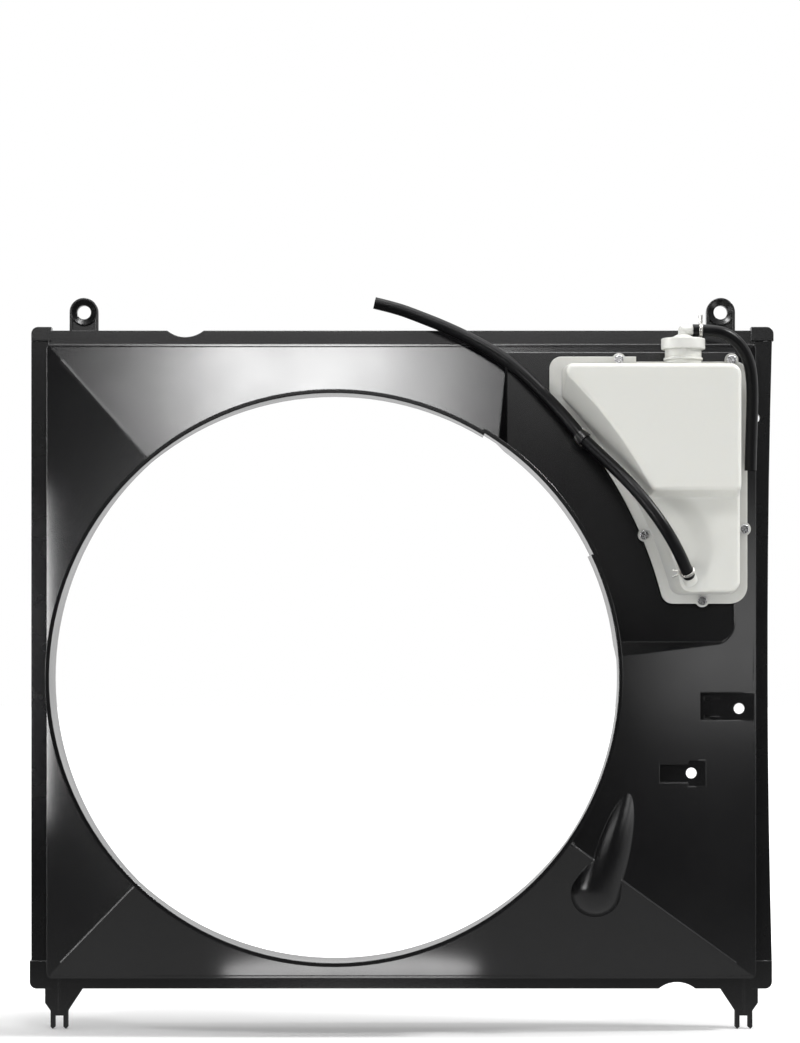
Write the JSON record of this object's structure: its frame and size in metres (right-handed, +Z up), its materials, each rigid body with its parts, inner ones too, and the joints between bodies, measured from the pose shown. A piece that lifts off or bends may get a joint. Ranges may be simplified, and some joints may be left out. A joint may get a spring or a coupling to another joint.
{
  "type": "radiator fan shroud",
  "caption": "Moulded fan shroud for a vehicle radiator with a round fan ring, a bolted-on coolant reservoir, its push-on cap and two hoses.",
  "frame": {"origin": "centre of the fan ring in the plane of its engine-side lip", "axes": "+X to the right seen from the engine, +Y along the fan axis from the engine towards the radiator, +Z up"},
  "size_m": [0.6861, 0.1163, 0.6743],
  "materials": {
    "black_plastic": "smooth semi-gloss moulded black",
    "strip_plastic": "satin black",
    "tank_plastic": "translucent natural white, waxy",
    "cap_plastic": "white moulded",
    "seal_rubber": "matte",
    "screw_steel": "bright plated",
    "clip_steel": "bright spring steel",
    "hose_rubber": "satin black rubber",
    "clamp_steel": "spring wire"
  },
  "bodies": {
    "root": {"fan_ring": "black_plastic", "panel_upper_left": "black_plastic", "panel_lower_left": "black_plastic", "panel_lower_right": "black_plastic", "panel_right": "black_plastic", "tank_recess": "black_plastic", "frame_top": "black_plastic", "frame_bottom": "black_plastic", "frame_left": "black_plastic", "frame_right": "black_plastic", "flange_left": "black_plastic", "flange_right": "black_plastic", "side_strip_left": "strip_plastic", "side_strip_right": "strip_plastic", "reservoir_tank": "tank_plastic", "screw_top_left": "screw_steel", "screw_top_right": "screw_steel", "screw_right": "screw_steel", "screw_bottom": "screw_steel", "screw_curve_low": "screw_steel", "screw_curve_high": "screw_steel", "hose_clip": "clip_steel", "outlet_hose": "hose_rubber", "outlet_clamp": "clamp_steel"},
    "cap": {"filler_cap": "cap_plastic", "cap_seal": "seal_rubber", "overflow_hose": "hose_rubber", "overflow_clamp": "clamp_steel"}
  },
  "joints": [
    {"name": "cap_lift", "type": "slide", "parent": "root", "child": "cap", "axis": [0, 0, 1], "range_m": [0, 0.025]}
  ]
}
